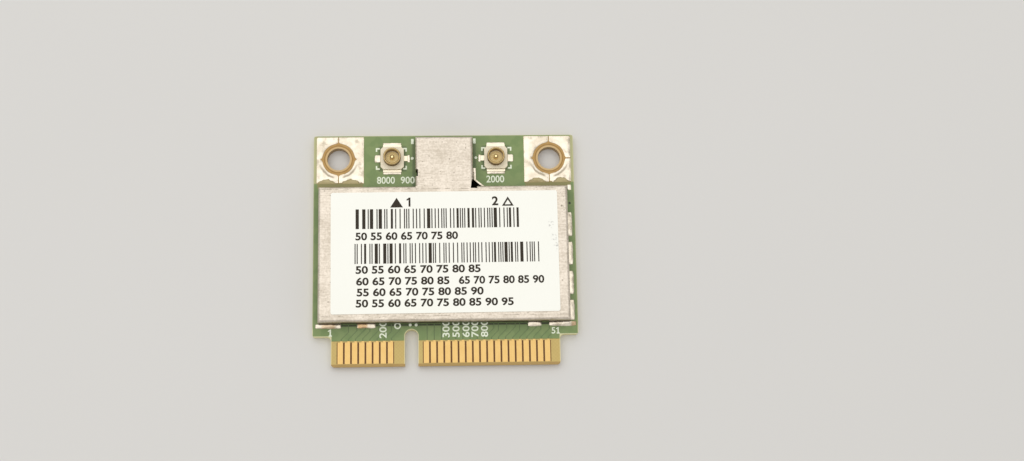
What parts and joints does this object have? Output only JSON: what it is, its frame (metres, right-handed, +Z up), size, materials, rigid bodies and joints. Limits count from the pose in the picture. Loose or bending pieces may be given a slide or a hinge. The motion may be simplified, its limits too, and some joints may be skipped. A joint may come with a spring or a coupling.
{
  "type": "half-size mini card wireless network module",
  "caption": "Small plug-in circuit card with a keyed gold edge connector, mounting holes, push-on antenna sockets and a folded metal shield can under a paper label.",
  "frame": {"origin": "middle of the board's flat underside", "axes": "+X along the board's width, +Y from the edge contacts towards the antenna sockets, +Z up out of the component side"},
  "size_m": [0.0298, 0.0266, 0.0027],
  "materials": {
    "board": "green solder mask over pale laminate, satin",
    "gold": "gold plated, satin",
    "solder": "solder, bright and domed",
    "shield": "tin plated sheet, satin",
    "label": "coated paper with black print",
    "moulding": "black moulding compound, matt",
    "ferrite": "pressed ferrite, matt",
    "crystal": "metal lid on ceramic, satin",
    "ceramic": "fired ceramic, matt",
    "capacitor": "brown fired ceramic with tinned ends",
    "resistor": "black glazed top with tinned ends",
    "insulator": "moulded liquid-crystal polymer, matt",
    "socket_plating": "plated brass, satin"
  },
  "bodies": {
    "root": {"circuit_board": "board", "edge_contacts_top": "gold", "edge_contacts_bottom": "gold", "mounting_pad_left": "gold", "mounting_pad_right": "gold", "pad_solder_left": "solder", "pad_solder_right": "solder", "shield_can": "shield", "shield_solder": "solder", "printed_label": "label", "radio_chip": "moulding", "memory_chip": "moulding", "regulator_chip": "moulding", "antenna_switch": "moulding", "power_inductor": "ferrite", "crystal": "crystal", "radio_filters": "ceramic", "chip_capacitors": "capacitor", "chip_resistors": "resistor", "antenna_socket_1_base": "insulator", "antenna_socket_1_ring": "socket_plating", "antenna_socket_1_pin": "gold", "antenna_socket_1_solder": "solder", "antenna_socket_2_base": "insulator", "antenna_socket_2_ring": "socket_plating", "antenna_socket_2_pin": "gold", "antenna_socket_2_solder": "solder"}
  },
  "joints": []
}
